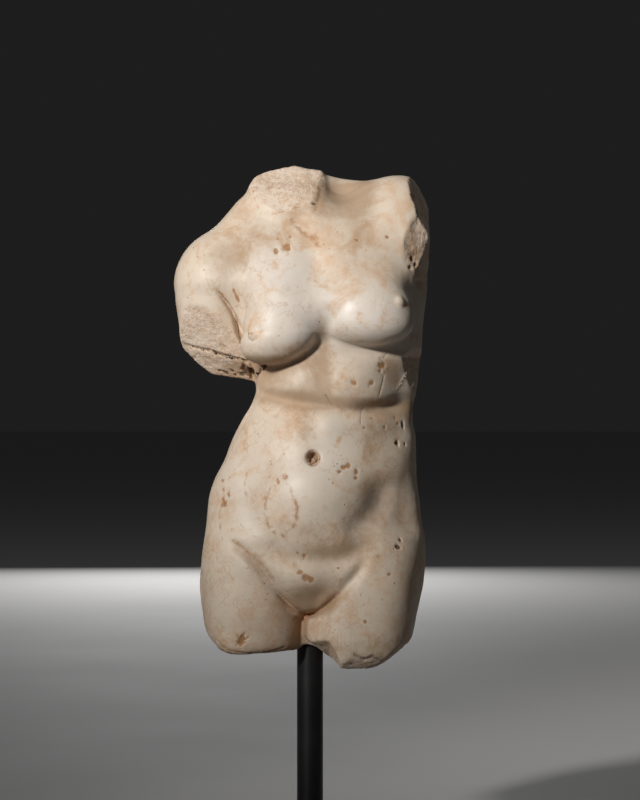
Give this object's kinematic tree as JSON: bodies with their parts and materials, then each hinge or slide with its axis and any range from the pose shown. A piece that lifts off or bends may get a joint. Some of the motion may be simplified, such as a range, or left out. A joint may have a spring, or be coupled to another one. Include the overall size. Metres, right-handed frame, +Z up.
{
  "type": "marble torso sculpture",
  "caption": "Broken marble torso of a standing nude woman, without head, arms or lower legs, carried upright by a round black steel post on a square plate.",
  "frame": {"origin": "middle of the base plate's underside, on the post's axis", "axes": "+Z up along the post, -Y the way the figure faces, +X towards the figure's left side"},
  "size_m": [0.1998, 0.19, 0.5367],
  "materials": {
    "marble": "cream-white marble, worn to a soft gloss, with brown stains, root marks and granular breaks",
    "black_steel": "satin black paint on steel"
  },
  "bodies": {
    "root": {"marble_torso": "marble", "support_post": "black_steel", "base_plate": "black_steel"}
  },
  "joints": []
}
